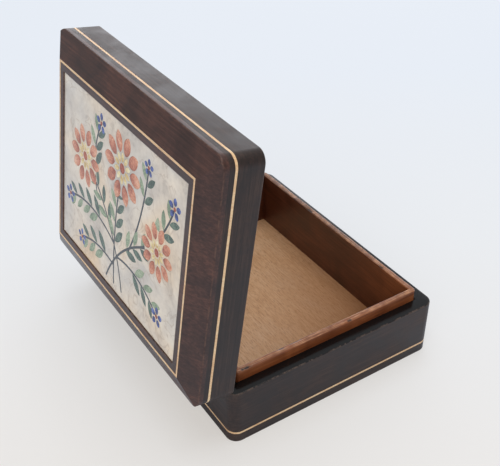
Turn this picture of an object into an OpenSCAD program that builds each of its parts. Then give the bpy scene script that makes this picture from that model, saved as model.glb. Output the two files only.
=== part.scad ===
// Ditty box: an ebonised wooden box with a bevelled lid, light stringing and an inlaid stone tablet.
// The origin is the centre of the underside. +Z is up, +X runs to the right along the hinge line,
// and the front is at -Y. The lid is drawn open, resting on the chamfers at its back edge.

/* [Box] */
// Length of the box along the hinge line
box_w = 165; // [150:1:200]
// Depth of the box from front to back
box_d = 132.5; // [120:0.5:170]
// Height of the base from the table to its rim
base_h = 34; // [28:0.5:50]
// Thickness of the base walls
wall_t = 7.4; // [7:0.1:9]
// Radius of the upright corners
corner_r = 6; // [3:0.5:6.5]
// Thickness of the bottom board
bottom_t = 4; // [3:0.5:4.5]
// How far the bottom board reaches under the walls
bottom_rebate = 3.4; // [2:0.1:4]
// Radius of the softened edges of the rims and of the foot
arris_r = 0.5; // [0.2:0.1:1]

/* [Liner] */
// Thickness of the four lining boards
liner_t = 3.4; // [2.4:0.1:4]
// How far the lining stands above the rim of the base
lip_h = 6.5; // [4:0.5:9]
// Thickness of the floor board
floor_t = 1; // [0.8:0.1:2]
// Radius of the lining's outer upright corners
liner_corner_r = 2.5; // [1:0.5:3]
// Radius of the lining's upper edges
liner_edge_r = 0.8; // [0.3:0.1:1.1]

/* [Lid] */
// Height of the lid's upright sides
lid_side_h = 20; // [18:0.5:30]
// Height of the bevel above the sides
bevel_rise = 5.5; // [4:0.5:8]
// Width of the bevel at the two ends
bevel_end_run = 12; // [9:0.5:18]
// Width of the bevel at the front and back
bevel_side_run = 13; // [9:0.5:18]
// Radius of the bevel's lower edge
bevel_edge_r = 0.9; // [0.3:0.1:1.5]
// Thickness of the top board where its upright edge shows
board_edge_t = 2.5; // [2:0.1:4]
// Thickness of the panel under the top board
lining_t = 1.5; // [1:0.1:2.5]
// Angle at which the open lid rests
open_angle = 82; // [78:0.5:95]

/* [Stringing] */
// Width of the light lines
string_w = 1.2; // [0.8:0.1:2]
// Depth of the light lines
string_t = 1; // [0.6:0.1:1.5]
// Height of the base's line above the table
base_string_z = 6.3; // [6:0.1:12]
// Drop of the lid's line below the bevel
lid_string_drop = 5.8; // [5.2:0.1:9]
// Distance of the line round the picture from the bevel
top_string_in = 0.2; // [0.2:0.1:1]

/* [Picture] */
// Width of the dark border between the line and the picture
border_w = 4; // [2:0.1:8]
// Depth of the picture below the border
picture_sink = 0.65; // [0.3:0.05:1.2]
// Thickness of the stone tablet
tablet_t = 4; // [3:0.5:4.5]
// Thickness of the stones let into the tablet
stone_t = 1.6; // [1:0.1:2]
// Petals in each ring of a blossom
petal_count = 10; // [8:1:12]
// Width of the stems
stem_w = 1.2; // [0.8:0.1:1.6]
// Length of the longest leaves
leaf_l = 12.5; // [9:0.5:14]
// Distance between pairs of leaves along a stem
leaf_pitch = 8.5; // [7:0.5:12]

/* [Hinges] */
// Length of each hinge
hinge_len = 30; // [20:1:40]
// Distance of each hinge's middle from the end of the box
hinge_from_end = 38; // [30:1:50]
// Distance of the hinge line from the back of the box
hinge_in = 1; // [0.8:0.1:1.2]
// Wood left between a leaf and the inside of the base wall
leaf_margin = 1.4; // [1.2:0.1:2]
// Thickness of a leaf
leaf_t = 0.9; // [0.7:0.1:1.2]
// Diameter of the knuckles
knuckle_d = 3; // [2.6:0.1:3.4]
// Knuckles in a hinge
knuckle_count = 5; // [3:2:7]
// Diameter of the pins
pin_d = 1.5; // [1:0.1:1.6]
// Screws in a leaf
screw_count = 3; // [2:1:4]
// Length of the screws
screw_len = 5; // [4:0.5:8]

/* [Clearances] */
// Gap between the rims of the closed box
seat_gap = 0.2; // [0.1:0.05:0.4]
// Gap between the lining's lip and the lid walls
lip_gap = 0.6; // [0.5:0.1:0.8]
// Radial gap between a pin and its knuckles
pin_gap = 0.05; // [0.02:0.01:0.1]
// Gap between neighbouring knuckles
knuckle_gap = 0.25; // [0.15:0.05:0.4]
// Gap round the knuckles in the wood
groove_gap = 0.3; // [0.2:0.05:0.5]
// Gap round glued-in lines, boards and stones
glue_gap = 0.05; // [0.03:0.01:0.1]
// Angle left between the two chamfers when the lid is open
stop_slack = 0.5; // [0.3:0.1:1]

/* [Hidden] */
$fn = 64;

// The hinge line lies midway between the two rims of the closed box
hinge_y = box_d / 2 - hinge_in;
hinge_z = base_h + seat_gap / 2;
hinge_x = box_w / 2 - hinge_from_end;

// Heights of the closed lid
lid_rim_z = base_h + seat_gap;
lid_edge_z = lid_rim_z + lid_side_h;
lid_top_z = lid_edge_z + bevel_rise;
board_z = lid_edge_z - board_edge_t;

// The lid walls stand outside the lining's lip
lid_wall_t = wall_t - lip_gap;

// Each chamfer takes half of the open angle, and they meet when the lid is open
chamfer_angle = (open_angle + stop_slack) / 2;

// The raised field, the line round it and the picture
field_w = box_w - 2 * bevel_end_run;
field_d = box_d - 2 * bevel_side_run;
line_w = field_w - 2 * top_string_in;
line_d = field_d - 2 * top_string_in;
picture_w = line_w - 2 * (string_w + border_w);
picture_d = line_d - 2 * (string_w + border_w);
picture_z = lid_top_z - picture_sink;

// The edge of the recess round the picture is softened over half of its depth
recess_edge = picture_sink / 2;

// A cutting solid reaches this far past what it cuts
reach = 5;

// A block with rounded upright edges, between two heights
module rounded_block(w, d, r, z_low, z_high) {
    h = z_high - z_low;
    translate([0, 0, z_low]) {
        translate([-w / 2 + r, -d / 2, 0]) cube([w - 2 * r, d, h]);
        translate([-w / 2, -d / 2 + r, 0]) cube([w, d - 2 * r, h]);
        for (x = [-1, 1], y = [-1, 1])
            translate([x * (w / 2 - r), y * (d / 2 - r), 0]) cylinder(r = r, h = h);
    }
}

// A rectangle standing on height 0 whose outer corners are softened below and, if asked, above
module soft_section(width, height, top) {
    e = arris_r;
    shoulder = top ? height - e : height;
    translate([0, e]) square([width, shoulder - e]);
    square([width - e, height]);
    translate([width - e, e]) circle(r = e);
    if (top) translate([width - e, shoulder]) circle(r = e);
}

// A block with rounded upright edges whose lower and, if asked, upper edges are softened
module soft_block(w, d, r, z_low, z_high, top) {
    h = z_high - z_low;
    translate([0, 0, z_low]) {
        for (side = [0, 1]) {
            mirror([0, side, 0]) along_x(w - 2 * r) soft_section(d / 2, h, top);
            mirror([side, 0, 0]) along_y(d - 2 * r) soft_section(w / 2, h, top);
        }
        for (x = [-1, 1], y = [-1, 1])
            translate([x * (w / 2 - r), y * (d / 2 - r), 0]) rotate_extrude() soft_section(r, h, top);
    }
}

// A plain block on the middle of the box, between two heights
module block(w, d, z_low, z_high) {
    translate([-w / 2, -d / 2, z_low]) cube([w, d, z_high - z_low]);
}

// A profile in the Y-Z plane, drawn out along X
module along_x(length) {
    rotate([90, 0, 90]) linear_extrude(length, center = true) children();
}

// A profile in the X-Z plane, drawn out along Y
module along_y(length) {
    rotate([90, 0, 0]) linear_extrude(length, center = true) children();
}

// The share of a frame that belongs to its front piece, cut at 45 degrees through the corners
module front_share(w, d, z_low, z_high) {
    depth = d / 2 - reach;
    translate([0, 0, z_low]) linear_extrude(z_high - z_low) polygon([
        [-w / 2 - reach, -d / 2 - reach], [w / 2 + reach, -d / 2 - reach],
        [w / 2 - depth, -d / 2 + depth], [-w / 2 + depth, -d / 2 + depth]
    ]);
}

// The share of a frame that belongs to its left piece
module left_share(w, d, z_low, z_high) {
    depth = d / 2 - reach;
    translate([0, 0, z_low]) linear_extrude(z_high - z_low) polygon([
        [-w / 2 - reach, -d / 2 - reach], [-w / 2 + depth, -d / 2 + depth],
        [-w / 2 + depth, d / 2 - depth], [-w / 2 - reach, d / 2 + reach]
    ]);
}

module front_piece(w, d, z_low, z_high) {
    intersection() {
        children();
        front_share(w, d, z_low, z_high);
    }
}

module back_piece(w, d, z_low, z_high) {
    intersection() {
        children();
        mirror([0, 1, 0]) front_share(w, d, z_low, z_high);
    }
}

module left_piece(w, d, z_low, z_high) {
    intersection() {
        children();
        left_share(w, d, z_low, z_high);
    }
}

module right_piece(w, d, z_low, z_high) {
    intersection() {
        children();
        mirror([1, 0, 0]) left_share(w, d, z_low, z_high);
    }
}

// Turns the closed lid about the hinge line to where it rests
module opened() {
    translate([0, hinge_y, hinge_z]) rotate([-open_angle, 0, 0]) translate([0, -hinge_y, -hinge_z])
        children();
}

// What lies behind the hinge line and above the chamfer of the base
module stop_cut() {
    along_x(box_w + 2 * reach) translate([hinge_y, hinge_z])
        polygon([[0, 0], [reach, -reach * tan(chamfer_angle)], [reach, reach], [0, reach]]);
}

// A flat ring with rounded corners, let in round the outside of the box
module string_ring(z_mid, gap) {
    z_low = z_mid - string_w / 2 - gap;
    z_high = z_mid + string_w / 2 + gap;
    depth = string_t + gap;
    difference() {
        rounded_block(box_w, box_d, corner_r, z_low, z_high);
        rounded_block(box_w - 2 * depth, box_d - 2 * depth, corner_r - depth,
                      z_low - reach, z_high + reach);
    }
}

// Hinges
// A hinge is drawn with its line along X through the origin and its leaves towards -Y. Knuckles are
// numbered from the left: the even ones belong to the base leaf and the odd ones to the lid leaf.

knuckle_pitch = hinge_len / knuckle_count;
leaf_w = wall_t - hinge_in - leaf_margin;
leaf_root = knuckle_d / 2 + knuckle_gap;
leaf_top = -seat_gap / 2 - glue_gap;
screw_y = -(leaf_root + leaf_w) / 2;
screw_pitch = hinge_len / screw_count;
screw_head_share = 0.68;
screw_head_d = screw_head_share * (leaf_w - leaf_root);
screw_shank_share = 0.55;
screw_d = screw_shank_share * screw_head_d;
slot_w_share = 0.18;
slot_depth_share = 0.14;
slot_w = slot_w_share * screw_head_d;
slot_depth = slot_depth_share * screw_head_d;
slot_turn = 50;

// One leaf with its own knuckles, lying below the hinge line
module leaf(first) {
    difference() {
        union() {
            translate([-hinge_len / 2, -leaf_w, leaf_top - leaf_t])
                cube([hinge_len, leaf_w - leaf_root, leaf_t]);
            for (i = [first:2:knuckle_count - 1]) {
                x = -hinge_len / 2 + i * knuckle_pitch + knuckle_gap / 2;
                length = knuckle_pitch - knuckle_gap;
                translate([x, -leaf_w / 2, leaf_top - leaf_t]) cube([length, leaf_w / 2, leaf_t]);
                translate([x, 0, 0]) rotate([0, 90, 0]) cylinder(d = knuckle_d, h = length);
            }
        }
        rotate([0, 90, 0]) cylinder(d = pin_d + 2 * pin_gap, h = hinge_len + 2 * reach, center = true);
        screws(glue_gap);
    }
}

// The countersunk screws of one leaf
module screws(gap) {
    head_h = (screw_head_d - screw_d) / 2;
    for (i = [0:screw_count - 1])
        translate([(i - (screw_count - 1) / 2) * screw_pitch, screw_y, leaf_top]) {
            translate([0, 0, -head_h])
                cylinder(d1 = screw_d + 2 * gap, d2 = screw_head_d + 2 * gap, h = head_h);
            translate([0, 0, -screw_len - gap]) cylinder(d = screw_d + 2 * gap, h = screw_len + gap);
        }
}

// The screws themselves, each with a slot across its head, turned as it was driven in
module slotted_screws() {
    difference() {
        screws(0);
        for (i = [0:screw_count - 1])
            translate([(i - (screw_count - 1) / 2) * screw_pitch, screw_y, leaf_top - slot_depth])
                rotate(slot_turn * (i + 1))
                    block(slot_w, 2 * screw_head_d, 0, slot_depth + reach);
    }
}

// What a leaf, the knuckles and the screws need cut out of the wood below the hinge line
module hinge_bed() {
    length = hinge_len + 2 * glue_gap;
    translate([-length / 2, -leaf_w - glue_gap, leaf_top - leaf_t - glue_gap])
        cube([length, leaf_w + glue_gap, leaf_t + reach]);
    rotate([0, 90, 0]) cylinder(d = knuckle_d + 2 * groove_gap, h = length, center = true);
    screws(glue_gap);
}

// Both beds in the closed box: side is 1 for the base and -1 for the lid
module hinge_beds(side) {
    for (x = [-hinge_x, hinge_x])
        translate([x, hinge_y, hinge_z]) on_side(side) hinge_bed();
}

// Leaves a piece as it is for the base, and turns it upside down about the hinge line for the lid
module on_side(side) {
    if (side > 0) children();
    else mirror([0, 0, 1]) children();
}

module base_leaf(x) {
    color("darkgoldenrod") translate([x, hinge_y, hinge_z]) leaf(0);
}

module lid_leaf(x) {
    color("darkgoldenrod") opened() translate([x, hinge_y, hinge_z]) on_side(-1) leaf(1);
}

module hinge_pin(x) {
    color("goldenrod") translate([x, hinge_y, hinge_z]) rotate([0, 90, 0])
        cylinder(d = pin_d, h = hinge_len, center = true);
}

module left_hinge_base_leaf() { base_leaf(-hinge_x); }
module right_hinge_base_leaf() { base_leaf(hinge_x); }
module left_hinge_lid_leaf() { lid_leaf(-hinge_x); }
module right_hinge_lid_leaf() { lid_leaf(hinge_x); }
module left_hinge_pin() { hinge_pin(-hinge_x); }
module right_hinge_pin() { hinge_pin(hinge_x); }

module base_hinge_screws() {
    color("goldenrod") for (x = [-hinge_x, hinge_x])
        translate([x, hinge_y, hinge_z]) slotted_screws();
}

module lid_hinge_screws() {
    color("goldenrod") opened() for (x = [-hinge_x, hinge_x])
        translate([x, hinge_y, hinge_z]) on_side(-1) slotted_screws();
}

// Base
// Four mitred walls, rebated below for the bottom board, grooved for the line, cut for the hinges and
// chamfered behind the hinge line, where the open lid comes to rest.

module base_walls() {
    inner_w = box_w - 2 * wall_t;
    inner_d = box_d - 2 * wall_t;
    difference() {
        soft_block(box_w, box_d, corner_r, 0, base_h, true);
        block(inner_w, inner_d, -reach, base_h + reach);
        block(inner_w + 2 * bottom_rebate, inner_d + 2 * bottom_rebate, -reach, bottom_t);
        string_ring(base_string_z, glue_gap);
        stop_cut();
        hinge_beds(1);
    }
}

module base_front_wall() { color("#2b2523") front_piece(box_w, box_d, 0, base_h) base_walls(); }
module base_back_wall() { color("#2b2523") back_piece(box_w, box_d, 0, base_h) base_walls(); }
module base_left_wall() { color("#2b2523") left_piece(box_w, box_d, 0, base_h) base_walls(); }
module base_right_wall() { color("#2b2523") right_piece(box_w, box_d, 0, base_h) base_walls(); }

module base_bottom_board() {
    under = 2 * (wall_t - bottom_rebate + glue_gap);
    color("#3a2a20") block(box_w - under, box_d - under, 0, bottom_t);
}

module base_stringing() {
    color("#d9b38c") string_ring(base_string_z, 0);
}

// Liner
// Four mitred boards stand on the bottom board against the walls. Their upper edges are rounded.

lip_z = base_h + lip_h;
liner_w = box_w - 2 * wall_t;
liner_d = box_d - 2 * wall_t;

// A rectangle with its two upper corners rounded, from height 0, and standing on its lower edge
module round_topped(w, h, r) {
    square([w, h - r]);
    translate([r, 0]) square([w - 2 * r, h]);
    for (x = [r, w - r])
        translate([x, h - r]) circle(r = r);
}

// The section of a lining board, with the inside of the box towards +X
module liner_section() {
    translate([0, bottom_t]) round_topped(liner_t, lip_z - bottom_t, liner_edge_r);
}

// Gives a lining board the rounded upright corners of the lining
module cornered() {
    color("#6b3518") intersection() {
        children();
        rounded_block(liner_w, liner_d, liner_corner_r, 0, lip_z);
    }
}

module liner_front_wall() {
    cornered() front_piece(liner_w, liner_d, 0, lip_z)
        along_x(liner_w) translate([-liner_d / 2, 0]) liner_section();
}

module liner_back_wall() {
    mirror([0, 1, 0]) liner_front_wall();
}

module liner_left_wall() {
    cornered() left_piece(liner_w, liner_d, 0, lip_z)
        along_y(liner_d) translate([-liner_w / 2, 0]) liner_section();
}

module liner_right_wall() {
    mirror([1, 0, 0]) liner_left_wall();
}

module liner_floor() {
    inside = 2 * (liner_t + glue_gap);
    color("#a0805c") block(liner_w - inside, liner_d - inside, bottom_t, bottom_t + floor_t);
}

// Lid
// Four mitred walls carry a top board with bevelled margins. The board holds the picture in a recess.

module lid_walls() {
    difference() {
        soft_block(box_w, box_d, corner_r, lid_rim_z, board_z, false);
        block(box_w - 2 * lid_wall_t, box_d - 2 * lid_wall_t, lid_rim_z - reach, board_z + reach);
        string_ring(lid_edge_z - lid_string_drop, glue_gap);
        translate([0, 0, 2 * hinge_z]) mirror([0, 0, 1]) stop_cut();
        hinge_beds(-1);
    }
}

module lid_front_wall() {
    color("#2b2523") opened() front_piece(box_w, box_d, lid_rim_z, board_z) lid_walls();
}

module lid_back_wall() {
    color("#2b2523") opened() back_piece(box_w, box_d, lid_rim_z, board_z) lid_walls();
}

module lid_left_wall() {
    color("#2b2523") opened() left_piece(box_w, box_d, lid_rim_z, board_z) lid_walls();
}

module lid_right_wall() {
    color("#2b2523") opened() right_piece(box_w, box_d, lid_rim_z, board_z) lid_walls();
}

// Flats that make up the rounded turn between the board's upright edge and the bevel
edge_steps = 6;

// Half of the top board's section: upright edge, rounded turn, bevel and raised field
function bevel_half(half, run) =
    let (slope = atan2(bevel_rise, run),
         turn = 90 - slope,
         drop = bevel_edge_r * tan(turn / 2))
    concat(
        [for (i = [0:edge_steps])
            let (a = turn * i / edge_steps)
            [half - bevel_edge_r + bevel_edge_r * cos(a), lid_edge_z - drop + bevel_edge_r * sin(a)]],
        [[half - run, lid_top_z]]
    );

// The whole section across a given width
module bevelled_section(width, run) {
    right = bevel_half(width / 2, run);
    left = [for (i = [len(right) - 1:-1:0]) [-right[i][0], right[i][1]]];
    polygon(concat([[width / 2, board_z]], right, left, [[-width / 2, board_z]]));
}

module lid_top_board() {
    color("#2b2523") opened() difference() {
        intersection() {
            rounded_block(box_w, box_d, corner_r, board_z, lid_top_z);
            along_x(box_w + reach) bevelled_section(box_d, bevel_side_run);
            along_y(box_d + reach) bevelled_section(box_w, bevel_end_run);
        }
        intersection() {
            along_x(box_w + reach) recess_section(picture_d);
            along_y(box_d + reach) recess_section(picture_w);
        }
        top_line(glue_gap);
    }
}

// The section of the recess for the picture across a given width, wider above its softened edge
module recess_section(width) {
    low = picture_z - tablet_t;
    soft = lid_top_z - recess_edge;
    wide = width / 2 + recess_edge + reach;
    polygon([
        [-width / 2, low], [width / 2, low], [width / 2, soft], [wide, lid_top_z + reach],
        [-wide, lid_top_z + reach], [-width / 2, soft]
    ]);
}

// The flat line round the raised field
module top_line(gap) {
    outer = 2 * gap;
    inner = 2 * (string_w + gap);
    difference() {
        block(line_w + outer, line_d + outer, lid_top_z - string_t - gap, lid_top_z);
        block(line_w - inner, line_d - inner, lid_top_z - string_t - reach, lid_top_z + reach);
    }
}

module lid_front_strip() {
    color("#d9b38c") opened() front_piece(line_w, line_d, board_z, lid_top_z) top_line(0);
}

module lid_back_strip() {
    color("#d9b38c") opened() back_piece(line_w, line_d, board_z, lid_top_z) top_line(0);
}

module lid_left_strip() {
    color("#d9b38c") opened() left_piece(line_w, line_d, board_z, lid_top_z) top_line(0);
}

module lid_right_strip() {
    color("#d9b38c") opened() right_piece(line_w, line_d, board_z, lid_top_z) top_line(0);
}

module lid_side_stringing() {
    color("#d9b38c") opened() string_ring(lid_edge_z - lid_string_drop, 0);
}

module lid_lining() {
    inside = 2 * (lid_wall_t + glue_gap);
    color("#6b3518") opened() block(box_w - inside, box_d - inside, board_z - lining_t, board_z);
}

// Picture
// A flower spray of thin stones let flush into a stone tablet. It is drawn flat, as seen with the
// front of the lid uppermost, in units of which the picture's shorter way holds a fixed number. Every
// stone is a lens, a disc or a bent bar. Where two cross, the one behind is cut away round the one in
// front: flowers lie before light leaves, then come dark leaves, then stems.

// Size of the sheet that the spray is drawn on, and the length of one of its units
sheet_w = 130;
sheet_d = 95.5;
unit = min(picture_w / sheet_w, picture_d / sheet_d);

// The gap round the stones, the stems and the leaves in units of the sheet
stone_gap = glue_gap / unit;
stem_width = stem_w / unit;
leaf_size = leaf_l / unit;
leaf_step = leaf_pitch / unit;

// A lens from the origin along +X, made by two arcs that cross
module lens(length, width) {
    r = (length * length + width * width) / (4 * width);
    translate([length / 2, 0]) intersection() {
        translate([0, r - width / 2]) circle(r = r);
        translate([0, width / 2 - r]) circle(r = r);
    }
}

// A ring of petals in a flower of a given radius. The kind holds the petals' start, length and width
// as shares of that radius.
module petals(count, radius, kind, grow) {
    for (i = [0:count - 1])
        rotate(i * 360 / count) translate([kind[0] * radius - grow, 0])
            lens(kind[1] * radius + 2 * grow, kind[2] * radius + 2 * grow);
}

// Blossoms: place and radius
blossoms = [[-38, 12, 17], [4, 25, 19], [42, 0, 15]];
outer_petal = [0.42, 0.58, 0.36];
inner_petal = [0.17, 0.28, 0.15];
blossom_heart = 0.14;
blossom_ground = 0.8;

module petal_shapes(grow) {
    for (b = blossoms)
        translate([b[0], b[1]]) petals(petal_count, b[2], outer_petal, grow);
}

module inner_petal_shapes(grow) {
    for (b = blossoms)
        translate([b[0], b[1]]) rotate(180 / petal_count) petals(petal_count, b[2], inner_petal, grow);
}

// Leaves and stems end at these discs, so that the ground shows inside the blossoms
module blossom_discs(grow) {
    for (b = blossoms)
        translate([b[0], b[1]]) circle(r = blossom_ground * b[2] + grow);
}

// Small flowers: place and radius
small_flowers = [
    [-56, -19, 5.5], [-20, 38, 5.5], [55, 30, 5.5], [-40, -38, 5], [46, -34, 5.5], [30, 38, 4.5]
];
small_petal = [0.26, 0.74, 0.56];
small_petal_count = 5;
small_heart = 0.2;

// One petal of each small flower points straight up
module small_flower_shapes(grow) {
    for (f = small_flowers)
        translate([f[0], f[1]]) rotate(90) petals(small_petal_count, f[2], small_petal, grow);
}

// The round stones in the middle of every flower
module heart_shapes(grow) {
    for (b = blossoms)
        translate([b[0], b[1]]) circle(r = blossom_heart * b[2] + grow);
    for (f = small_flowers)
        translate([f[0], f[1]]) circle(r = small_heart * f[2] + grow);
}

// Stems are arcs: both ends, the angle that the arc turns through, to the left where positive,
// and then the share of the stem that bears no leaves
stems = [
    [9, -44, -38, 12, 50, 0.55], [-9, -44, 42, 0, -50, 0.5], [0, -44, 4, 25, -18, 0.35],
    [-1, -20.5, -56, -19, 50, 0.25], [-22, -3, -20, 38, -55, 0.3], [25, -7, 55, 30, 40, 0.3],
    [-1, -33, -40, -38, 40, 0.25], [2, -26.3, 46, -34, -50, 0.3], [14, -16, 30, 38, 24, 0.72]
];

function stem_run(s) = [s[2] - s[0], s[3] - s[1]];
function stem_r(s) = norm(stem_run(s)) / (2 * sin(abs(s[4]) / 2));
function stem_left(s) = [-stem_run(s)[1], stem_run(s)[0]] / norm(stem_run(s));
function stem_mid(s) = [s[0] + s[2], s[1] + s[3]] / 2;
function stem_centre(s) = stem_mid(s) + sign(s[4]) * stem_r(s) * cos(s[4] / 2) * stem_left(s);
function stem_start(s) = atan2(s[1] - stem_centre(s)[1], s[0] - stem_centre(s)[0]);

module stem_shapes(grow) {
    for (s = stems)
        translate(stem_centre(s)) rotate(min(stem_start(s), stem_start(s) + s[4]))
            bent_bar(stem_r(s), abs(s[4]), stem_width + 2 * grow);
}

// A bar bent to an arc that starts on +X
module bent_bar(r, angle, width) {
    far = 2 * r;
    difference() {
        intersection() {
            circle(r = r + width / 2);
            polygon([[0, 0], [far, 0], [far * cos(angle / 2), far * sin(angle / 2)],
                     [far * cos(angle), far * sin(angle)]]);
        }
        circle(r = r - width / 2);
    }
}

// Leaves stand in pairs along each stem, lean forwards and grow smaller towards its tip
leaf_slim = 0.38;
leaf_lean = 40;
leaf_stagger = 0.12;
leaf_first_size = 1.1;
leaf_taper = 0.45;

module leaf_shapes(side, grow) {
    for (s = stems) {
        count = floor(stem_r(s) * abs(s[4]) * PI / 180 / leaf_step);
        first = max(1, round(s[5] * count));
        if (first < count) for (i = [first:count - 1]) {
            share = (i + side * leaf_stagger) / count;
            a = stem_start(s) + share * s[4];
            size = leaf_size * (leaf_first_size - leaf_taper * share);
            translate(stem_centre(s) + stem_r(s) * [cos(a), sin(a)])
                rotate(a + 90 * sign(s[4]) + side * leaf_lean)
                    translate([stem_width - grow, 0]) lens(size + 2 * grow, leaf_slim * size + 2 * grow);
        }
    }
}

// Everything that stands in front of the leaves, with a gap round it
module flower_shapes(gap) {
    petal_shapes(gap);
    small_flower_shapes(gap);
    heart_shapes(gap);
    blossom_discs(0);
}

// Lays a flat shape on the sheet as stones of the picture, from a depth up to its surface
module laid(depth) {
    translate([0, 0, picture_z - depth]) linear_extrude(depth)
        rotate(180) scale(unit) children();
}

module picture_petals() {
    color("#d98a6a") opened() laid(stone_t) petal_shapes(0);
}

module picture_inner_petals() {
    color("#b35a3c") opened() laid(stone_t) difference() {
        inner_petal_shapes(0);
        petal_shapes(stone_gap);
        heart_shapes(stone_gap);
    }
}

module picture_hearts() {
    color("#d9903c") opened() laid(stone_t) heart_shapes(0);
}

module picture_small_flowers() {
    color("#3f4f86") opened() laid(stone_t) difference() {
        small_flower_shapes(0);
        petal_shapes(stone_gap);
        heart_shapes(stone_gap);
    }
}

module picture_light_leaves() {
    color("#7d8c74") opened() laid(stone_t) difference() {
        leaf_shapes(1, 0);
        flower_shapes(stone_gap);
    }
}

module picture_dark_leaves() {
    color("#4a5a52") opened() laid(stone_t) difference() {
        leaf_shapes(-1, 0);
        leaf_shapes(1, stone_gap);
        flower_shapes(stone_gap);
    }
}

module picture_stems() {
    color("#3f4a3c") opened() laid(stone_t) difference() {
        stem_shapes(0);
        leaf_shapes(1, stone_gap);
        leaf_shapes(-1, stone_gap);
        flower_shapes(stone_gap);
    }
}

module picture_tablet() {
    color("#d8c8b8") opened() difference() {
        block(picture_w - 2 * glue_gap, picture_d - 2 * glue_gap, picture_z - tablet_t, picture_z);
        translate([0, 0, reach]) laid(stone_t + glue_gap + reach) {
            petal_shapes(stone_gap);
            inner_petal_shapes(stone_gap);
            heart_shapes(stone_gap);
            small_flower_shapes(stone_gap);
            difference() {
                union() {
                    leaf_shapes(1, stone_gap);
                    leaf_shapes(-1, stone_gap);
                    stem_shapes(stone_gap);
                }
                blossom_discs(-stone_gap);
            }
        }
    }
}

base_front_wall();
base_back_wall();
base_left_wall();
base_right_wall();
base_bottom_board();
base_stringing();
liner_front_wall();
liner_back_wall();
liner_left_wall();
liner_right_wall();
liner_floor();
left_hinge_base_leaf();
right_hinge_base_leaf();
left_hinge_pin();
right_hinge_pin();
base_hinge_screws();
lid_front_wall();
lid_back_wall();
lid_left_wall();
lid_right_wall();
lid_top_board();
lid_lining();
lid_side_stringing();
lid_front_strip();
lid_back_strip();
lid_left_strip();
lid_right_strip();
picture_tablet();
picture_petals();
picture_inner_petals();
picture_hearts();
picture_small_flowers();
picture_light_leaves();
picture_dark_leaves();
picture_stems();
left_hinge_lid_leaf();
right_hinge_lid_leaf();
lid_hinge_screws();
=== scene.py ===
import math

import bmesh
import bpy
import numpy as np
from mathutils import Matrix, Vector


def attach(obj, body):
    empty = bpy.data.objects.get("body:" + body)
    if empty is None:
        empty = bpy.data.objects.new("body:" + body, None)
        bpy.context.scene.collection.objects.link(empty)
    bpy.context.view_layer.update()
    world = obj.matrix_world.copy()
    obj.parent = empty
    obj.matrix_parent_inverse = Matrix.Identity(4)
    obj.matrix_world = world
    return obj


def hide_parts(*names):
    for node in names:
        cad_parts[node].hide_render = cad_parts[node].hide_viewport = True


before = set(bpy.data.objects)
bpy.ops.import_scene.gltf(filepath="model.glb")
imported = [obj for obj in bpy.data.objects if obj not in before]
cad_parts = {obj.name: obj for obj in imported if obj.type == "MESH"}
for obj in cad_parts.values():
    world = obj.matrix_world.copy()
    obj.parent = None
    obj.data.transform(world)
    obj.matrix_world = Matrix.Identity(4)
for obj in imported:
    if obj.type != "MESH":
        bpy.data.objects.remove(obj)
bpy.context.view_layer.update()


# Case: four mitred walls for the base and four for the lid, of fine-grained wood that was stained
# black and polished to a half gloss. The stain is thin and reddish in places and rubbed off along
# the arrises. The rims are the smoothest part, and their colour is painted near black as painted
# shade. The lid is drawn open.
HINGE = Vector((0, 0.06525, 0.0341))
OPEN = math.radians(82)
CASE_W, CASE_D, CORNER = 0.165, 0.1325, 0.006
BASE_RIM, LID_RIM = 0.034, 0.0342


def linear(code):
    """Turns an sRGB hex code into linear red, green and blue with alpha 1: c / 12.92 up to 0.04045
    and ((c + 0.055) / 1.055) to the power of 2.4 above it."""
    c = np.array([int(code[i:i + 2], 16) / 255 for i in (1, 3, 5)])
    return (*np.where(c <= 0.04045, c / 12.92, ((c + 0.055) / 1.055) ** 2.4).tolist(), 1.0)


def put(tree, kind, out=None, stops=(), **values):
    """Adds a node. Values with a small first letter are its settings. The others are its sockets,
    named with _ for a space or numbered _0 and _1, and take a value or an output. stops are a
    colour ramp's places and hex codes. Gives the output named out, or else the first live one."""
    node = tree.nodes.new("ShaderNode" + kind if tree.type == "SHADER" else kind)
    for name in [n for n in values if n[0].islower()]:
        setattr(node, name, values.pop(name))
    for name, value in values.items():
        socket = node.inputs[int(name[1:])] if name[0] == "_" else next(
            s for s in node.inputs if s.enabled and s.name == name.replace("_", " "))
        if isinstance(value, bpy.types.NodeSocket):
            tree.links.new(value, socket)
        else:
            socket.default_value = value
    for i, (place, code) in enumerate(stops):
        steps = node.color_ramp.elements
        step = steps[i] if i < len(steps) else steps.new(place)
        step.position, step.color = place, linear(code)
    live = [s for s in node.outputs if s.enabled and out in (None, s.name)]
    return live[0] if live else node


def blank(name):
    """An empty material and its node tree."""
    material = bpy.data.materials.new(name)
    material.use_nodes = True
    material.node_tree.nodes.clear()
    return material, material.node_tree


def finish(tree, **values):
    """Adds the shader with its values and the output."""
    put(tree, "OutputMaterial", Surface=put(tree, "BsdfPrincipled", **values))


def where(tree, lid):
    """Object coordinates. On the lid they are turned back about the hinge line to where they are
    while it is closed."""
    place = put(tree, "TexCoord", "Object")
    shut = Matrix.Rotation(OPEN, 3, "X")
    return put(tree, "Mapping", Vector=place, Location=HINGE - shut @ HINGE,
               Rotation=(OPEN, 0, 0)) if lid else place


def fibres(tree, place, along, width, stretch, detail=4.0):
    """Noise of a width in metres, drawn out stretch times along one axis as the fibres of wood
    are."""
    scale = [1.0, 1.0, 1.0]
    scale["XYZ".index(along)] = 1 / stretch
    return put(tree, "TexNoise", Vector=put(tree, "Mapping", Vector=place, Scale=scale),
               Scale=1 / width, Detail=detail, Roughness=0.62)


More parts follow.
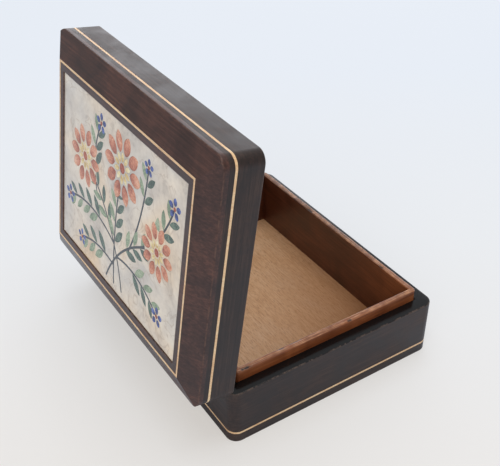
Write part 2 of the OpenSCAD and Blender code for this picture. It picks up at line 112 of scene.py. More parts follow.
def arris(tree, place, rim):
    """How near a point is to the outer edge of a rim, from 0 at far to 1 at close, and whether it
    is on the rim. How far out it lies is the length of what its place has beyond the centres of
    the corners."""
    far, close = 0.0008, 0.0001
    beyond = put(tree, "VectorMath", operation="ABSOLUTE", _0=place)
    beyond = put(tree, "VectorMath", operation="SUBTRACT", _0=beyond,
                 _1=(CASE_W / 2 - CORNER, CASE_D / 2 - CORNER, 1.0))
    beyond = put(tree, "VectorMath", operation="MAXIMUM", _0=beyond, _1=(0, 0, 0))
    beyond = put(tree, "VectorMath", operation="LENGTH", _0=beyond, out="Value")
    height = put(tree, "SeparateXYZ", _0=place, out="Z")
    off = put(tree, "Math", operation="ABSOLUTE",
              _0=put(tree, "Math", operation="SUBTRACT", _0=height, _1=rim))
    outside = put(tree, "MapRange", Value=beyond, From_Min=CORNER - far, From_Max=CORNER - close)
    level = put(tree, "MapRange", Value=off, From_Min=far, From_Max=close)
    near = put(tree, "Math", operation="MULTIPLY", _0=outside, _1=level)
    return near, put(tree, "MapRange", Value=off, From_Min=0.0003, From_Max=0.0001)


def ebonised(name, along, lid, rim, tones, rubbed, gloss):
    """Black-stained wood with fibres of 1.1 mm, pores of 0.35 mm drawn coarser than life so that
    they show, and clouds of 18 mm where the stain is thin. A rim is glossier and worn along its
    edge, and its colour is painted near black as painted shade. Without a rim, the point value rub
    gives the wear. gloss holds the roughness where the stain is thick and where it is thin."""
    painted_shade_black, polish = "#0a0a0b", 0.16
    material, tree = blank(name)
    place = where(tree, lid)
    fibre = fibres(tree, place, along, 0.0011, 40)
    pores = fibres(tree, place, along, 0.00035, 16, 2.0)
    thin = put(tree, "TexNoise", Vector=place, Scale=55.0, Detail=5.0, Roughness=0.62,
               Distortion=0.5)
    tone = put(tree, "Mix", Factor=0.5, A=fibre, B=thin)
    colour = put(tree, "ValToRGB", Fac=tone,
                 stops=((0.34, tones[0]), (0.5, tones[1]), (0.66, tones[2])))
    colour = put(tree, "Mix", data_type="RGBA", A=colour, B=linear(tones[0]), Factor=put(
        tree, "MapRange", Value=pores, From_Min=0.58, From_Max=0.68, To_Max=0.75))
    broken = put(tree, "MapRange", From_Min=0.42, From_Max=0.62, Value=put(
        tree, "TexNoise", Vector=place, Scale=420.0, Detail=4.0, Roughness=0.6))
    if rim:
        near, on_rim = arris(tree, place, rim)
    else:
        near = put(tree, "Attribute", attribute_name="rub", out="Fac")
    worn = put(tree, "Math", operation="MULTIPLY", _0=near, _1=broken)
    sheen = put(tree, "MapRange", Value=thin, From_Min=0.35, From_Max=0.65,
                To_Min=gloss[0], To_Max=gloss[1])
    if rim:
        # On the rim the colour is painted near black: painted shade standing in for the rim's dark
        # reflection.
        colour = put(tree, "Mix", data_type="RGBA", Factor=on_rim, A=colour, B=linear(painted_shade_black))
        sheen = put(tree, "Mix", Factor=on_rim, A=sheen, B=polish)
    colour = put(tree, "Mix", data_type="RGBA", Factor=worn, A=colour, B=linear(rubbed))
    sheen = put(tree, "Mix", Factor=worn, A=sheen, B=0.5)
    uneven = put(tree, "Bump", Height=put(tree, "TexNoise", Vector=place, Scale=80.0, Detail=2.0),
                 Strength=0.5, Distance=0.00005)
    relief = put(tree, "Bump", Height=fibre, Strength=0.3, Distance=0.00012, Normal=uneven)
    finish(tree, Base_Color=colour, Roughness=sheen, IOR=1.46, Normal=relief)
    return material


turns = bpy.data.node_groups.new("turned_corners", "GeometryNodeTree")
turns.is_modifier = True
for way in ("INPUT", "OUTPUT"):
    turns.interface.new_socket("Geometry", in_out=way, socket_type="NodeSocketGeometry")
solid = put(turns, "GeometryNodeMergeByDistance", Distance=1e-7,
            Geometry=put(turns, "NodeGroupInput", out="Geometry"))
solid = put(turns, "GeometryNodeSetShadeSmooth", Geometry=solid, Shade_Smooth=True)
sharp = put(turns, "FunctionNodeCompare", data_type="FLOAT", operation="GREATER_THAN",
            A=put(turns, "GeometryNodeInputMeshEdgeAngle", out="Unsigned Angle"),
            B=math.radians(30))
solid = put(turns, "GeometryNodeSetShadeSmooth", domain="EDGE", Geometry=solid, Selection=sharp,
            Shade_Smooth=False)
put(turns, "NodeGroupOutput", Geometry=solid)


def dress(material, *nodes):
    """Gives CAD nodes a material, and shades the facets of their rounded corners as one curve:
    doubles merged, all faces smooth, edges over 30 degrees sharp."""
    for name in nodes:
        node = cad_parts[name]
        node.data.materials.clear()
        node.data.materials.append(material)
        node.modifiers.new("turned_corners", "NODES").node_group = turns


WALL, WALL_WORN, WALL_GLOSS = ("#180f0c", "#2b1d18", "#443128"), "#5c4a40", (0.36, 0.5)
for name, along, lid, nodes in (
        ("ebonised_base_along_x", "X", False, ("base_front_wall", "base_back_wall")),
        ("ebonised_base_along_y", "Y", False, ("base_left_wall", "base_right_wall")),
        ("ebonised_lid_along_x", "X", True, ("lid_front_wall", "lid_back_wall")),
        ("ebonised_lid_along_y", "Y", True, ("lid_left_wall", "lid_right_wall"))):
    dress(ebonised(name, along, lid, LID_RIM if lid else BASE_RIM, WALL, WALL_WORN, WALL_GLOSS),
          *nodes)


# Bottom board: a stained board let into the walls from below. It was left as it came from the
# plane, so its face is matt and its fibres stand up a little.

def plain_wood(name, along, lid, tones, width, patch, rough, depth):
    """Wood with fibres of a width in metres, dark pores of a third of it, and clouds as wide as
    patch. rough holds the roughness of the valleys and of the fibres, which stand up by depth."""
    material, tree = blank(name)
    place = where(tree, lid)
    fibre = fibres(tree, place, along, width, 26)
    pores = fibres(tree, place, along, width / 3, 12, 2.0)
    thin = put(tree, "TexNoise", Vector=place, Scale=1 / patch, Detail=4.0, Distortion=0.5)
    colour = put(tree, "ValToRGB", Fac=put(tree, "Mix", Factor=0.45, A=fibre, B=thin),
                 stops=((0.34, tones[0]), (0.5, tones[1]), (0.67, tones[2])))
    colour = put(tree, "Mix", data_type="RGBA", A=colour, B=linear(tones[0]), Factor=put(
        tree, "MapRange", Value=pores, From_Min=0.56, From_Max=0.68, To_Max=0.6))
    sheen = put(tree, "MapRange", Value=fibre, From_Min=0.35, From_Max=0.65,
                To_Min=rough[0], To_Max=rough[1])
    relief = put(tree, "Bump", Height=fibre, Strength=0.5, Distance=depth)
    finish(tree, Base_Color=colour, Roughness=sheen, IOR=1.48, Normal=relief)
    return material


dress(plain_wood("planed_stained_pine", "X", False, ("#241910", "#3b2a1e", "#4f3b2b"),
                 0.0018, 0.03, (0.6, 0.8), 0.0003), "base_bottom_board")


# Stringing: lines of pale boxwood, 1.2 mm wide, glued into grooves and scraped flush. They run
# round the foot, round the lid's sides and, mitred, round the raised field of the lid.
for name, lid, nodes in (
        ("scraped_boxwood_on_base", False, ("base_stringing",)),
        ("scraped_boxwood_on_lid", True, (
            "lid_side_stringing", "lid_front_strip", "lid_back_strip", "lid_left_strip",
            "lid_right_strip"))):
    dress(plain_wood(name, "X", lid, ("#cc9d6d", "#edc597", "#f9e2b6"), 0.0007, 0.012, (0.32, 0.48),
                     0.00005), *nodes)


# Liner: four thin boards, stained red-brown and varnished, mitred at the corners and standing
# 6.5 mm above the rim. Their upper edges are rounded by hand and by use, rubbed pale, which is wear
# together with painted highlight, and chipped dark. The stain is painted lighter and warmer towards
# the left end and towards the top of the boards, as painted light.
LINER_W, LINER_D, LINER_T, LINER_FOOT, LINER_TOP = 0.1502, 0.1177, 0.0034, 0.004, 0.0405
LINER_CORNER, LINER_EDGE = 0.0025, 0.0008


def shell(name, points, body, material, slot, nodes, sharp=50, **marks):
    """A closed skin over rings of points: each ring is joined to the next, and the first and last
    are capped. points has the shape (..., rings, points in a ring, 3), marks are point values, and
    edges over sharp degrees stay sharp."""
    rings, count = points.shape[-3:-1]
    index = np.arange(points.size // 3).reshape(-1, rings, count)
    after = np.roll(index, -1, axis=2)
    quads = np.stack([index[:, :-1], after[:, :-1], after[:, 1:], index[:, 1:]], axis=-1)
    faces = quads.reshape(-1, 4).tolist() + index[:, 0, ::-1].tolist() + index[:, -1].tolist()
    mesh = bpy.data.meshes.new(name)
    mesh.from_pydata(points.reshape(-1, 3), [], faces)
    for mark, values in marks.items():
        mesh.attributes.new(mark, "FLOAT", "POINT").data.foreach_set(
            "value", np.broadcast_to(values, points.shape[:-1]).astype(np.float32).ravel())
    work = bmesh.new()
    work.from_mesh(mesh)
    if work.calc_volume(signed=True) < 0:
        bmesh.ops.reverse_faces(work, faces=work.faces)
    work.to_mesh(mesh)
    work.free()
    mesh.shade_smooth()
    mesh.set_sharp_from_angle(angle=math.radians(sharp))
    mesh.materials.append(material)
    piece = bpy.data.objects.new(name, mesh)
    bpy.context.scene.collection.objects.link(piece)
    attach(piece, body)
    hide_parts(*nodes)


def waver(s, lengths, seed):
    """A smooth uneven line between -1 and 1: the mean of sines of the given wave lengths, each
    shifted by its own seeded angle."""
    shift = np.random.default_rng(seed).uniform(0, 2 * np.pi, len(lengths))
    return np.mean([np.sin(2 * np.pi * s / w + a) for w, a in zip(lengths, shift)], axis=0)


def lip_board(name, node, at_end, side, length, depth, chips, seed, material):
    """A board's section, upright sides under a rounded top, carried along the board and round each
    corner as far as the mitre. Its top sinks by a wavering line, up to twice sink, and by chips,
    which are given as place along the board, length, place across it and depth. A chip's form is
    e to the minus fourth power along the board, and it fades out over chip_width across it. The
    line stays level over the length still before each corner, and gains its depth over blend."""
    sink, chip_width, still, blend = 0.00011, 0.0011, 0.002, 0.004
    r = LINER_EDGE
    turn = np.linspace(0, np.pi / 2, 7)
    high = LINER_TOP - r
    steps = np.array([LINER_FOOT, 0.02, 0.034, high - 0.0002])
    across = np.concatenate([
        np.zeros(4), r - r * np.cos(turn), np.linspace(r, LINER_T - r, 7)[1:-1],
        LINER_T - r + r * np.sin(turn), np.full(4, LINER_T)])
    height = np.concatenate([steps, high + r * np.sin(turn), np.full(5, LINER_TOP),
                             high + r * np.cos(turn), steps[::-1]])
    on_top = np.concatenate([np.zeros(3), [0.1], np.sin(turn), np.ones(5), np.cos(turn), [0.1],
                             np.zeros(3)])
    corner = np.radians(np.linspace(45, 0, 8))[:, None]
    middle = np.linspace(-1, 1, 260)[1:-1, None]
    reach = length / 2 - LINER_CORNER
    bend = LINER_CORNER - across
    arc_s = np.where(bend > 0, bend * np.sin(corner), bend * np.tan(corner))
    arc_d = np.where(bend > 0, -bend * np.cos(corner), -bend)
    s = np.concatenate([-reach - arc_s, middle * reach + 0 * across, (reach + arc_s)[::-1]])
    d = np.concatenate([arc_d, -bend + 0 * middle, arc_d[::-1]]) - depth / 2 + LINER_CORNER
    ease = np.clip((reach - still - np.abs(s)) / blend, 0, 1)
    hollow = sink * (1 + waver(s, (0.047, 0.021, 0.009), seed)) * ease
    dark = np.zeros_like(s)
    for place, long, spot, deep in chips:
        bite = np.exp(-((s - place) / long) ** 4)
        bite = bite * (0.75 + 0.25 * waver(s, (0.0031, 0.0017), seed))
        bite = bite * np.clip(1.3 - np.abs(across - spot) / chip_width, 0, 1)
        hollow = hollow + deep * bite
        dark = np.maximum(dark, np.clip(1.6 * bite - 0.2, 0, 1) * on_top)
    z = height - hollow * on_top
    # rub pales the top of the board: wear, together with painted highlight where the rounded top
    # catches the light.
    rub = on_top * (0.62 + 0.38 * waver(s + 0.2 * across, (0.033, 0.012, 0.0051), seed + 2))
    x, y = (d * side, s) if at_end else (s, d * side)
    shell(name, np.stack([x, y, z], axis=-1), "base", material, "liner", [node], rub=rub,
          chip=dark)


def liner_stain(name, along):
    """Red-brown stain over fibres of 0.9 mm, painted lighter and warmer towards the left end of the
    box and towards the top of the boards as painted light, pale where the point value rub is high,
    in lines along the board, which is wear together with painted highlight, and near black in the
    chips."""
    material, tree = blank(name)
    place = where(tree, False)
    fibre = fibres(tree, place, along, 0.0009, 30)
    lines = fibres(tree, place, along, 0.0004, 60, 2.0)
    thin = put(tree, "TexNoise", Vector=place, Scale=42.0, Detail=4.0, Distortion=0.8)
    tone = put(tree, "Mix", Factor=0.55, A=fibre, B=thin)
    deep = put(tree, "ValToRGB", Fac=tone,
               stops=((0.33, "#34170d"), (0.5, "#522b1b"), (0.67, "#6d3f2a")))
    warm = put(tree, "ValToRGB", Fac=tone,
               stops=((0.33, "#562812"), (0.5, "#7a411f"), (0.67, "#99592f")))
    x = put(tree, "SeparateXYZ", _0=place, out="X")
    z = put(tree, "SeparateXYZ", _0=place, out="Z")
    # Painted light: the stain turns lighter and warmer towards the left end and towards the top of
    # the boards.
    drift = put(tree, "Math", operation="MULTIPLY_ADD", _0=thin, _1=0.05, _2=x)
    painted_glow = put(tree, "Math", operation="MULTIPLY",
                 _0=put(tree, "MapRange", Value=drift, From_Min=0.005, From_Max=-0.045),
                 _1=put(tree, "MapRange", Value=z, From_Min=0.003, From_Max=0.034, To_Min=0.4))
    colour = put(tree, "Mix", data_type="RGBA", Factor=painted_glow, A=deep, B=warm)
    rub = put(tree, "Attribute", attribute_name="rub", out="Fac")
    # The pale lines where rub is high are wear together with painted highlight along the top.
    pale = put(tree, "Math", operation="MULTIPLY", _0=rub, _1=put(
        tree, "MapRange", Value=lines, From_Min=0.42, From_Max=0.58, To_Min=0.1))
    colour = put(tree, "Mix", data_type="RGBA", Factor=pale, A=colour, B=linear("#c6926c"))
    chip = put(tree, "Attribute", attribute_name="chip", out="Fac")
    colour = put(tree, "Mix", data_type="RGBA", Factor=chip, A=colour, B=linear("#241310"))
    sheen = put(tree, "MapRange", Value=thin, From_Min=0.35, From_Max=0.65, To_Min=0.28,
                To_Max=0.42)
    relief = put(tree, "Bump", Height=put(tree, "Mix", Factor=0.5, A=fibre, B=lines),
                 Strength=0.4, Distance=0.00015)
    finish(tree, Base_Color=colour, Roughness=sheen, IOR=1.5, Normal=relief)
    return material


stain_x = liner_stain("varnished_liner_along_x", "X")
stain_y = liner_stain("varnished_liner_along_y", "Y")
lip_board("liner_front_board", "liner_front_wall", False, 1, LINER_W, LINER_D,
          ((0.021, 0.003, 0.0028, 0.0003), (-0.048, 0.002, 0.003, 0.0002)), 3, stain_x)
lip_board("liner_back_board", "liner_back_wall", False, -1, LINER_W, LINER_D,
          ((-0.03, 0.004, 0.0006, 0.0003), (0.044, 0.002, 0.003, 0.0002)), 11, stain_x)
lip_board("liner_left_board", "liner_left_wall", True, 1, LINER_D, LINER_W,
          ((0.053, 0.0028, 0.0008, 0.0006), (0.0305, 0.0022, 0.0032, 0.0006),
           (0.0215, 0.0042, 0.0034, 0.0005), (-0.012, 0.0015, 0.0006, 0.0002)), 19, stain_y)
lip_board("liner_right_board", "liner_right_wall", True, -1, LINER_D, LINER_W,
          ((0.01, 0.003, 0.0032, 0.0004), (-0.036, 0.002, 0.0006, 0.0003)), 27, stain_y)


# Floor board: a thin board of bare tan wood between the liner boards, matt, with short dark fibres
# along the box and browner towards the front left corner, as painted shade cast by the front board.
floor_wood, tree = blank("bare_cedar_floor")
place = where(tree, False)
fibre = fibres(tree, place, "X", 0.0008, 14)
flecks = fibres(tree, place, "X", 0.00042, 9, 2.0)
thin = put(tree, "TexNoise", Vector=place, Scale=33.0, Detail=4.0, Distortion=0.6)
colour = put(tree, "ValToRGB", Fac=put(tree, "Mix", Factor=0.5, A=fibre, B=thin),
             stops=((0.33, "#b98a60"), (0.5, "#d6a97f"), (0.67, "#e6bf9a")))
colour = put(tree, "Mix", data_type="RGBA", A=colour, B=linear("#8f6540"), Factor=put(
    tree, "MapRange", Value=flecks, From_Min=0.54, From_Max=0.68, To_Max=0.7))
# Browner towards the front left corner: painted shade of the front board.
drift = put(tree, "Math", operation="MULTIPLY_ADD", _0=thin, _1=0.05, _2=put(
    tree, "VectorMath", operation="DOT_PRODUCT", _0=place, _1=(-0.6, -0.8, 0), out="Value"))
colour = put(tree, "Mix", data_type="RGBA", A=colour, B=linear("#8b5a33"), Factor=put(
    tree, "MapRange", Value=drift, From_Min=0.015, From_Max=0.095, To_Max=0.9))
relief = put(tree, "Bump", Height=put(tree, "Mix", Factor=0.5, A=fibre, B=flecks),
             Strength=0.5, Distance=0.0002)
finish(tree, Base_Color=colour, Roughness=0.62, IOR=1.48, Normal=relief)
dress(floor_wood, "liner_floor")


# Hinges: two small butt hinges of filed brass, let flush into the rims, with turned pins and
# slotted countersunk screws. Age has dulled them and left brown tarnish in clouds of 3 mm.

def aged_brass(name, lid):
    """Brass with file marks of 0.3 mm along the leaf, drawn coarser than life so that they show."""
    material, tree = blank(name)
    place = where(tree, lid)
    tarnish = put(tree, "MapRange", From_Min=0.4, From_Max=0.66, Value=put(
        tree, "TexNoise", Vector=place, Scale=330.0, Detail=4.0, Roughness=0.6))
    colour = put(tree, "Mix", data_type="RGBA", A=linear("#bd9a54"), B=linear("#6a5029"),
                 Factor=tarnish)
    sheen = put(tree, "MapRange", Value=tarnish, To_Min=0.28, To_Max=0.52)
    relief = put(tree, "Bump", Height=fibres(tree, place, "X", 0.0003, 30, 2.0),
                 Strength=0.3, Distance=0.00005)
    finish(tree, Base_Color=colour, Metallic=1.0, Roughness=sheen, Normal=relief)
    return material


dress(aged_brass("filed_brass_on_base", False), "left_hinge_base_leaf", "right_hinge_base_leaf",
      "left_hinge_pin", "right_hinge_pin", "base_hinge_screws")
dress(aged_brass("filed_brass_on_lid", True), "left_hinge_lid_leaf", "right_hinge_lid_leaf",
      "lid_hinge_screws")


# Top board of the lid: one board, planed to a bevel on its four margins and polished like the case
# but redder. Its hips are eased by hand, and so is the edge of the recess, which is rubbed brown.
BOARD_FOOT, BOARD_EDGE, BOARD_RISE = 0.0517, 0.0542, 0.0055
END_RUN, SIDE_RUN, BOARD_ROUND = 0.012, 0.013, 0.0009
LINE_W, LINE_D, LINE, LINE_DEEP, SLACK = 0.1406, 0.1061, 0.0012, 0.00105, 0.00005
BORDER, TABLET_FOOT, FIELD_CORNER, HIP_EASE, FIELD_EASE = 0.004, 0.05505, 0.0001, 0.00016, 0.0001


def opened(points):
    """Turns points of the closed lid about the hinge line to where it rests open."""
    turn = np.array(Matrix.Rotation(-OPEN, 3, "X"))
    return (points - HINGE) @ turn.T + HINGE


def softly_least(a, b, width):
    """The smaller of two heights, with a rounding of the given width where they are equal."""
    share = np.clip(0.5 + 0.5 * (b - a) / width, 0, 1)
    return b + (a - b) * share - width * share * (1 - share)


def rounded_outline(side_points, corner_points):
    """Once round a rectangle: for each point the signs of the nearest corner's centre and the
    direction from that centre. A corner's points lie closer near its middle, where the hip runs."""
    turn = np.linspace(-1, 1, corner_points)
    turn = np.pi / 4 * (1 + np.sign(turn) * np.abs(turn) ** 1.8)
    slide = np.linspace(-1, 1, side_points + 2)[1:-1]
    one = np.ones_like(slide)
    signs, ways = [], []
    for k, (sx, sy) in enumerate(((1, 1), (-1, 1), (-1, -1), (1, -1))):
        side = (one * sx, slide * sy) if k % 2 == 0 else (slide * sx, one * sy)
        out = (sx, 0) if k % 2 == 0 else (0, sy)
        signs += [np.stack(side, 1), np.full((corner_points, 2), (sx, sy))]
        ways += [np.full((side_points, 2), out), np.stack([np.cos(turn + k * np.pi / 2),
                                                           np.sin(turn + k * np.pi / 2)], 1)]
    return np.concatenate(signs), np.concatenate(ways)


signs, ways = rounded_outline(120, 17)


def ring(half_w, half_d, radius):
    """A rounded rectangle in plan: each corner's centre plus the radius along its direction."""
    return signs * (half_w - radius, half_d - radius) + radius * ways


def bevel_height(plan):
    """Height of the bevel: the lower of the slopes from the nearest end and side, eased at the hip,
    and no higher than the field."""
    from_end = BOARD_EDGE + (CASE_W / 2 - np.abs(plan[..., 0])) * BOARD_RISE / END_RUN
    from_side = BOARD_EDGE + (CASE_D / 2 - np.abs(plan[..., 1])) * BOARD_RISE / SIDE_RUN
    hip = softly_least(from_end, from_side, HIP_EASE)
    return softly_least(hip, BOARD_EDGE + BOARD_RISE, FIELD_EASE)


# Each course round the board holds its plan, its height and how far it is rubbed: the side, the
# rounded arris, the bevel, then the groove, the border and the recess as inset, sink and rub.
edge = ring(CASE_W / 2, CASE_D / 2, CORNER)
at_end = np.abs(edge[:, 0]) / CASE_W > np.abs(edge[:, 1]) / CASE_D
turn_end = np.pi / 2 - np.arctan(BOARD_RISE / np.where(at_end, END_RUN, SIDE_RUN))
drop = BOARD_ROUND * np.tan(turn_end / 2)
course = [(edge, np.full(len(edge), z), 0.0) for z in (BOARD_FOOT, 0.0521, 0.0526)]
for share in np.linspace(0, 1, 8):
    inset = BOARD_ROUND * (1 - np.cos(share * turn_end))
    lift = BOARD_ROUND * np.sin(share * turn_end) - drop
    course.append((edge - ways * inset[:, None], bevel_height(edge) + lift,
                   0.6 * math.sin(math.pi * share)))
low = course[-1][0]
high = ring(CASE_W / 2 - END_RUN, CASE_D / 2 - SIDE_RUN, FIELD_CORNER)
for share in (0.02, 0.08, 0.18, 0.3, 0.42, 0.54, 0.66, 0.78, 0.88, 0.95, 0.98, 0.993, 1.0):
    plan = low + (high - low) * share
    course.append((plan, bevel_height(plan), 0.0))
top = BOARD_EDGE + BOARD_RISE
past = LINE + BORDER
for inset, sink, rub in (
        (-SLACK, 0, 0.3), (-SLACK, LINE_DEEP, 0), (LINE + SLACK, LINE_DEEP, 0),
        (LINE + SLACK, 0, 0.2), (LINE + 0.0006, 0, 0), (LINE + 0.002, 0, 0), (past - 0.0008, 0, 0),
        (past - 0.0004, 0, 0.6), (past - 0.0002, 0.00005, 1), (past - 0.00008, 0.00014, 1),
        (past, 0.00032, 0.7), (past, 0.00045, 0.1), (past, 0.00065, 0),
        (past, top - TABLET_FOOT, 0)):
    course.append((ring(LINE_W / 2 - inset, LINE_D / 2 - inset, FIELD_CORNER),
                   np.full(len(edge), top - sink), rub))
board = np.concatenate([np.stack([c[0] for c in course]),
                        np.stack([c[1] for c in course])[..., None]], axis=-1)
shell("bevelled_board", opened(board), "lid",
      ebonised("ebonised_bevelled_board", "X", True, None, ("#26140f", "#402720", "#5e3c31"),
               "#6b4f42", (0.3, 0.44)),
      "case", ["lid_top_board"], sharp=28, rub=np.array([c[2] for c in course])[:, None])


# Lining of the lid: a thin panel in the same red-brown stain as the liner, glued under the top
# board with its fibres along the box.
dress(plain_wood("varnished_lid_lining", "X", True, ("#3a1a0e", "#5c2f1a", "#7a4529"),
                 0.001, 0.025, (0.3, 0.45), 0.0001), "lid_lining")


# Tablet: a slab of clouded alabaster, cut out 1.6 mm deep for the stones of the picture and
# polished with them. It lies in the recess of the top board, 0.65 mm below the border.

def veined(tree, place, colour, tone, per_metre, detail, width, share):
    """Draws thin wandering veins over a colour: they run where noise passes through a half, fade
    out to both sides over width, and cover the colour by share at most."""
    path = put(tree, "TexNoise", Vector=place, Scale=per_metre, Detail=detail, Distortion=1.6)
    line = put(tree, "Math", operation="ABSOLUTE",
               _0=put(tree, "Math", operation="SUBTRACT", _0=path, _1=0.5))
    return put(tree, "Mix", data_type="RGBA", A=colour, B=linear(tone), Factor=put(
        tree, "MapRange", Value=line, From_Min=width, From_Max=0.0, To_Max=share))


alabaster, tree = blank("clouded_alabaster")
place = where(tree, True)
cloud = put(tree, "TexNoise", Vector=place, Scale=48.0, Detail=6.0, Roughness=0.58, Distortion=0.9)
drift = put(tree, "TexNoise", Vector=place, Scale=21.0, Detail=3.0, Distortion=0.4)
speck = put(tree, "TexNoise", Vector=place, Scale=400.0, Detail=4.0)
colour = put(tree, "ValToRGB", Fac=put(tree, "Mix", Factor=0.25, A=cloud, B=speck),
             stops=((0.3, "#bdb2a6"), (0.46, "#e3d9cc"), (0.66, "#f6eee1")))
colour = put(tree, "Mix", data_type="RGBA", blend_type="MULTIPLY", Factor=0.75, A=colour, B=put(
    tree, "ValToRGB", Fac=drift, stops=((0.34, "#dcdde0"), (0.5, "#fdf7ee"), (0.66, "#f8dcb4"))))
colour = veined(tree, place, colour, "#a98f74", 26.0, 4.0, 0.012, 0.4)
sheen = put(tree, "MapRange", Value=speck, From_Min=0.3, From_Max=0.7, To_Min=0.12, To_Max=0.24)
finish(tree, Base_Color=colour, Roughness=sheen, IOR=1.53)
dress(alabaster, "picture_tablet")


# Flowers: petals and hearts of thin stone, each sawn to its outline, let into the tablet and
# polished, so that its edge is a little rounded. Petals go from dark near the heart to light. The
# flowers are drawn on a sheet in units of about 1 mm, as place and radius.
UNIT, STONE_TOP, STONE_T = 0.00100154, 0.05905, 0.0016
BLOSSOMS = np.array([[-38, 12, 17], [4, 25, 19], [42, 0, 15]])
SMALL = np.array([[-56, -19, 5.5], [-20, 38, 5.5], [55, 30, 5.5], [-40, -38, 5], [46, -34, 5.5],
                  [30, 38, 4.5]])


def inlay(name, node, slot, outline, centre, along, material, seed):
    """Stones from their outlines in sheet units, shape (stones, points, 2): each outline shrinks
    towards the stone's centre as it rises round the edge, and the top is crowned by 0.03 mm.
    along is 0 where a stone begins and 1 where it ends."""
    shrink = np.array([1, 1, 0.99, 0.965, 0.93, 0.86, 0.6, 0.2])[:, None, None]
    depth = np.array([STONE_T, 0.0002, 0.0001, 0.00004, 0.00001, 0, -0.00002, -0.00003])
    flat = centre[:, None, None] + (outline[:, None] - centre[:, None, None]) * shrink
    height = np.broadcast_to(STONE_TOP - depth[:, None], flat.shape[:3])
    points = np.concatenate([-flat * UNIT, height[..., None]], axis=-1)
    middle = along.mean(axis=1)[:, None, None]
    fade = middle + (along[:, None] - middle) * shrink[None, ..., 0]
    tone = np.random.default_rng(seed).uniform(-1, 1, len(outline))[:, None, None]
    shell(name, opened(points), "lid", material, slot, [node], fade=fade, tone=tone)


def petal_stones(name, node, slot, flowers, count, first, kind, material, seed):
    """Lens outlines, made by two arcs that cross: half the width at x is the root of
    r * r - (x - l / 2) squared, less r - w / 2, where r is (l * l + w * w) / 4 w. kind holds start,
    length and width as shares of the flower's radius, and first is the angle of the first petal."""
    flower = np.repeat(flowers, count, axis=0)
    angle = np.radians(first) + np.tile(np.arange(count), len(flowers)) * 2 * np.pi / count
    start, length, width = [flower[:, 2:] * k for k in kind]
    u = np.linspace(0, 1, 16)
    x = np.concatenate([1 - np.cos(np.pi * u), 1 + np.cos(np.pi * u[1:-1])])[None] / 2 * length
    r = (length ** 2 + width ** 2) / (4 * width)
    half = np.sqrt(np.maximum(r ** 2 - (x - length / 2) ** 2, 0)) - r + width / 2
    y = np.maximum(half, 0) * np.repeat([1, -1], [16, 14])
    way = np.stack([np.cos(angle), np.sin(angle)], 1)
    side = np.stack([-way[:, 1], way[:, 0]], 1)
    outline = (flower[:, None, :2] + way[:, None] * (start + x)[..., None]
               + side[:, None] * y[..., None])
    centre = flower[:, :2] + way * (start + length / 2)
    inlay(name, node, slot, outline, centre, x / length, material, seed)


def stone(name, tones, patch, vein, vein_tone, graded):
    """Polished stone with clouds as wide as patch and thin veins that wander over vein, both in
    metres. Where it is graded, the stone's own tone and its place along the petal shift the
    colour."""
    material, tree = blank(name)
    place = where(tree, True)
    cloud = put(tree, "TexNoise", Vector=place, Scale=1 / patch, Detail=6.0, Roughness=0.6,
                Distortion=0.9)
    speck = put(tree, "TexNoise", Vector=place, Scale=6 / patch, Detail=4.0)
    shade = put(tree, "Mix", Factor=0.35, A=cloud, B=speck)
    if graded:
        fade = put(tree, "Attribute", attribute_name="fade", out="Fac")
        tone = put(tree, "Attribute", attribute_name="tone", out="Fac")
        shade = put(tree, "Math", operation="MULTIPLY_ADD", _0=tone, _1=0.05, _2=shade)
        shade = put(tree, "Math", operation="ADD", _0=shade, _1=put(
            tree, "MapRange", Value=fade, To_Min=-0.13, To_Max=0.1))
    colour = put(tree, "ValToRGB", Fac=shade,
                 stops=((0.34, tones[0]), (0.5, tones[1]), (0.66, tones[2])))
    colour = veined(tree, place, colour, vein_tone, 1 / vein, 3.0, 0.02, 0.55)
    sheen = put(tree, "MapRange", Value=speck, From_Min=0.3, From_Max=0.7, To_Min=0.12, To_Max=0.24)
    finish(tree, Base_Color=colour, Roughness=sheen, IOR=1.54)
    return material


petal_stones("blossom_petals", "picture_petals", "petal_stone", BLOSSOMS, 10, 0,
             (0.42, 0.58, 0.36),
             stone("salmon_jasper", ("#97492f", "#cf7f5c", "#efb694"), 0.006, 0.006, "#8f4c38",
                   True), 1)
petal_stones("blossom_inner_petals", "picture_inner_petals", "inner_petal_stone", BLOSSOMS, 10, 18,
             (0.17, 0.28, 0.15),
             stone("cream_marble", ("#c9a55e", "#ecd79c", "#f7eecb"), 0.005, 0.008, "#c7a869",
                   True), 2)
petal_stones("small_flower_petals", "picture_small_flowers", "small_flower_stone", SMALL, 5, 90,
             (0.26, 0.74, 0.56),
             stone("lapis", ("#18265a", "#2c438e", "#6a80c4"), 0.003, 0.004, "#8f9ac6", True), 3)
# A heart is a disc of one tone, 0.14 of a blossom's radius or 0.2 of a small flower's.
round_the_heart = np.linspace(0, 2 * np.pi, 33)[:-1]
hearts = np.concatenate([BLOSSOMS * (1, 1, 0.14), SMALL * (1, 1, 0.2)])
disc = np.stack([np.cos(round_the_heart), np.sin(round_the_heart)], 1)
inlay("flower_hearts", "picture_hearts", "heart_stone",
      hearts[:, None, :2] + disc * hearts[:, 2][:, None, None], hearts[:, :2],
      np.full((len(hearts), 32), 0.55),
      stone("red_jasper", ("#7d3420", "#a8482a", "#c87042"), 0.004, 0.005, "#6d2a1a", True), 4)


# Leaves and stems: thinner cuts of green and grey stone, in pairs of a light and a dark green along
# slate stems, let in after the flowers and polished with them.
dress(stone("light_serpentine", ("#5b6e54", "#8c9e7f", "#bac7a6"), 0.005, 0.004, "#4f6048", False),
      "picture_light_leaves")
dress(stone("dark_serpentine", ("#25372f", "#435a4c", "#738a74"), 0.005, 0.004, "#8c9c86", False),
      "picture_dark_leaves")
dress(stone("slate", ("#1f2225", "#31363a", "#4c5256"), 0.004, 0.006, "#5b6266", False),
      "picture_stems")


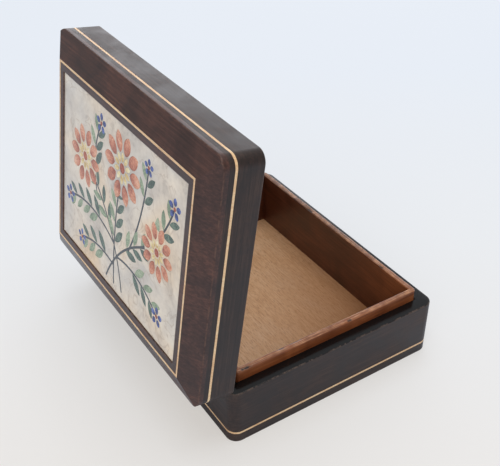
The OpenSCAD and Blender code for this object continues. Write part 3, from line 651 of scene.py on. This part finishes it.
# Floor of the studio, lamps and camera. The paper's own glow, which only the camera sees, keeps it
# pale and grows away from the box, and the rest of its light shows the shadow.
NEAR_GLOW, SHEET = 0.55, 9.0
paper, tree = blank("pale_paper")
place = put(tree, "TexCoord", "Object")
# The glow is painted warmer towards the camera's side of the box and the diffuse colour is bluish,
# so that the shadow there reads warm: painted warm bounce light.
near = put(tree, "VectorMath", operation="DOT_PRODUCT", _0=place, _1=(-0.83, 0.56, 0), out="Value")
glow_tint_with_painted_warmth = put(tree, "ValToRGB", Fac=put(tree, "MapRange", Value=near, From_Min=-0.35, From_Max=0.2),
           stops=((0.0, "#edf1f7"), (0.5, "#f2f1ef"), (1.0, "#f6ebdd")))
away = put(tree, "VectorMath", operation="LENGTH", _0=place, out="Value")
far = put(tree, "MapRange", Value=away, From_Min=0.5, From_Max=2.5)
glow_tint_with_painted_warmth = put(tree, "Mix", data_type="RGBA", Factor=far, A=glow_tint_with_painted_warmth, B=linear("#edf0f3"))
glow = put(tree, "MapRange", Value=far, To_Min=NEAR_GLOW, To_Max=1.0)
seen = put(tree, "Math", operation="MULTIPLY", _0=put(tree, "LightPath", "Is Camera Ray"), _1=glow)
put(tree, "OutputMaterial", Surface=put(
    tree, "MixShader", _0=seen, _1=put(tree, "BsdfDiffuse", Color=linear("#e3ebf6")),
    _2=put(tree, "Emission", Color=glow_tint_with_painted_warmth, Strength=1.0)))
sheet = bpy.data.meshes.new("floor")
corners = SHEET * np.array([[-1, -1, 0], [1, -1, 0], [1, 1, 0], [-1, 1, 0]])
sheet.from_pydata(corners, [], [(0, 1, 2, 3)])
sheet.materials.append(paper)
floor = bpy.data.objects.new("floor", sheet)
bpy.context.scene.collection.objects.link(floor)

world = bpy.data.worlds.new("studio")
world.use_nodes = True
sky = world.node_tree
sky.nodes.clear()
put(sky, "OutputWorld", Surface=put(
    sky, "MixShader", _0=put(sky, "LightPath", "Is Camera Ray"),
    _1=put(sky, "Background", Color=linear("#f2f5f9"), Strength=0.55),
    _2=put(sky, "Background", Color=linear("#edf0f3"), Strength=1.0)))
bpy.context.scene.world = world

for name, spot, size, energy, colour in (
        ("window", (1.12, -1.3, 0.58), (2.4, 0.8), 12.0, "#fbfaff"),
        ("ceiling", (0.0, 0.0, 1.6), (1.2, 1.2), 9.0, "#fffdf8"),
        ("fill", (-1.1, 1.1, 1.1), (1.4, 1.1), 9.0, "#fff0e0")):
    lamp = bpy.data.lights.new(name, "AREA")
    lamp.shape = "RECTANGLE"
    lamp.size, lamp.size_y = size
    lamp.energy = energy
    lamp.color = linear(colour)[:3]
    holder = bpy.data.objects.new(name, lamp)
    holder.location = spot
    holder.rotation_euler = (-Vector(spot)).to_track_quat("-Z", "Y").to_euler()
    bpy.context.scene.collection.objects.link(holder)

# The camera looks at aim from distance. Its focal length and the place of its axis are in pixels of
# a picture of this width and height.
azimuth, elevation, roll = [math.radians(a) for a in (235.963, 35.436, 0.622)]
aim, distance = Vector((0.020521, -0.020642, 0.03642)), 0.51521
focal, axis_x, axis_y, picture_w, picture_h = 842.982, 263.127, 233.665, 500, 466
back = Vector((math.sin(azimuth) * math.cos(elevation), -math.cos(azimuth) * math.cos(elevation),
               math.sin(elevation)))
right = Vector((0, 0, 1)).cross(back).normalized()
up = back.cross(right)
axes = (right * math.cos(roll) + up * math.sin(roll),
        up * math.cos(roll) - right * math.sin(roll), back)
lens = bpy.data.cameras.new("camera")
lens.sensor_width = 36.0
lens.lens = focal / picture_w * lens.sensor_width
lens.shift_x = (picture_w / 2 - axis_x) / picture_w
lens.shift_y = (axis_y - picture_h / 2) / picture_w
lens.clip_start, lens.clip_end = 0.01, 20
camera = bpy.data.objects.new("camera", lens)
turned = Matrix(axes).transposed().to_4x4()
camera.matrix_world = Matrix.Translation(aim + back * distance) @ turned
bpy.context.scene.collection.objects.link(camera)
bpy.context.scene.camera = camera
bpy.context.scene.view_settings.view_transform = "Standard"
